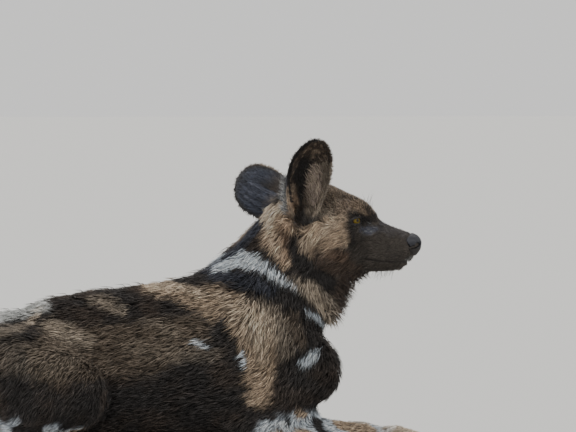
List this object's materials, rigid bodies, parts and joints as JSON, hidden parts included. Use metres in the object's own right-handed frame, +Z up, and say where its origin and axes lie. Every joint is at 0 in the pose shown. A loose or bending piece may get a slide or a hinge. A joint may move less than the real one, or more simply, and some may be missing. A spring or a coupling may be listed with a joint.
{
  "type": "african wild dog",
  "caption": "Life-size african wild dog lying on its brisket with forelegs stretched out, head raised and turned to its right, round ears and a bushy tail round its side.",
  "frame": {"origin": "the middle of the flat under the brisket, on the floor", "axes": "+X from rump to head, +Y to the animal's left, +Z up"},
  "size_m": [1.0345, 0.4342, 0.4978],
  "materials": {
    "coat": "short fur, blotched tan, black and white",
    "dark_coat": "short black-brown fur",
    "tan_coat": "tan fur",
    "white_coat": "long white hair",
    "nose_leather": "pebbled, slightly damp",
    "eye": "wet, amber iris, dark pupil",
    "claw_horn": "dark horn, worn at the tips"
  },
  "bodies": {
    "root": {"head": "coat", "neck": "coat", "torso": "coat", "foreleg_right": "coat", "foreleg_left": "coat", "hindleg_right": "coat", "hindleg_left": "coat", "forepaw_right": "coat", "forepaw_left": "coat", "hindpaw_right": "coat", "hindpaw_left": "coat", "lower_jaw": "dark_coat", "ear_right": "dark_coat", "ear_left": "dark_coat", "tail_middle": "dark_coat", "tail_root": "tan_coat", "tail_brush": "white_coat", "nose": "nose_leather", "eye_right": "eye", "eye_left": "eye", "claw_fore_right_1": "claw_horn", "claw_fore_right_2": "claw_horn", "claw_fore_right_3": "claw_horn", "claw_fore_right_4": "claw_horn", "claw_fore_left_1": "claw_horn", "claw_fore_left_2": "claw_horn", "claw_fore_left_3": "claw_horn", "claw_fore_left_4": "claw_horn", "claw_hind_right_1": "claw_horn", "claw_hind_right_2": "claw_horn", "claw_hind_right_3": "claw_horn", "claw_hind_right_4": "claw_horn", "claw_hind_left_1": "claw_horn", "claw_hind_left_2": "claw_horn", "claw_hind_left_3": "claw_horn", "claw_hind_left_4": "claw_horn"}
  },
  "joints": []
}
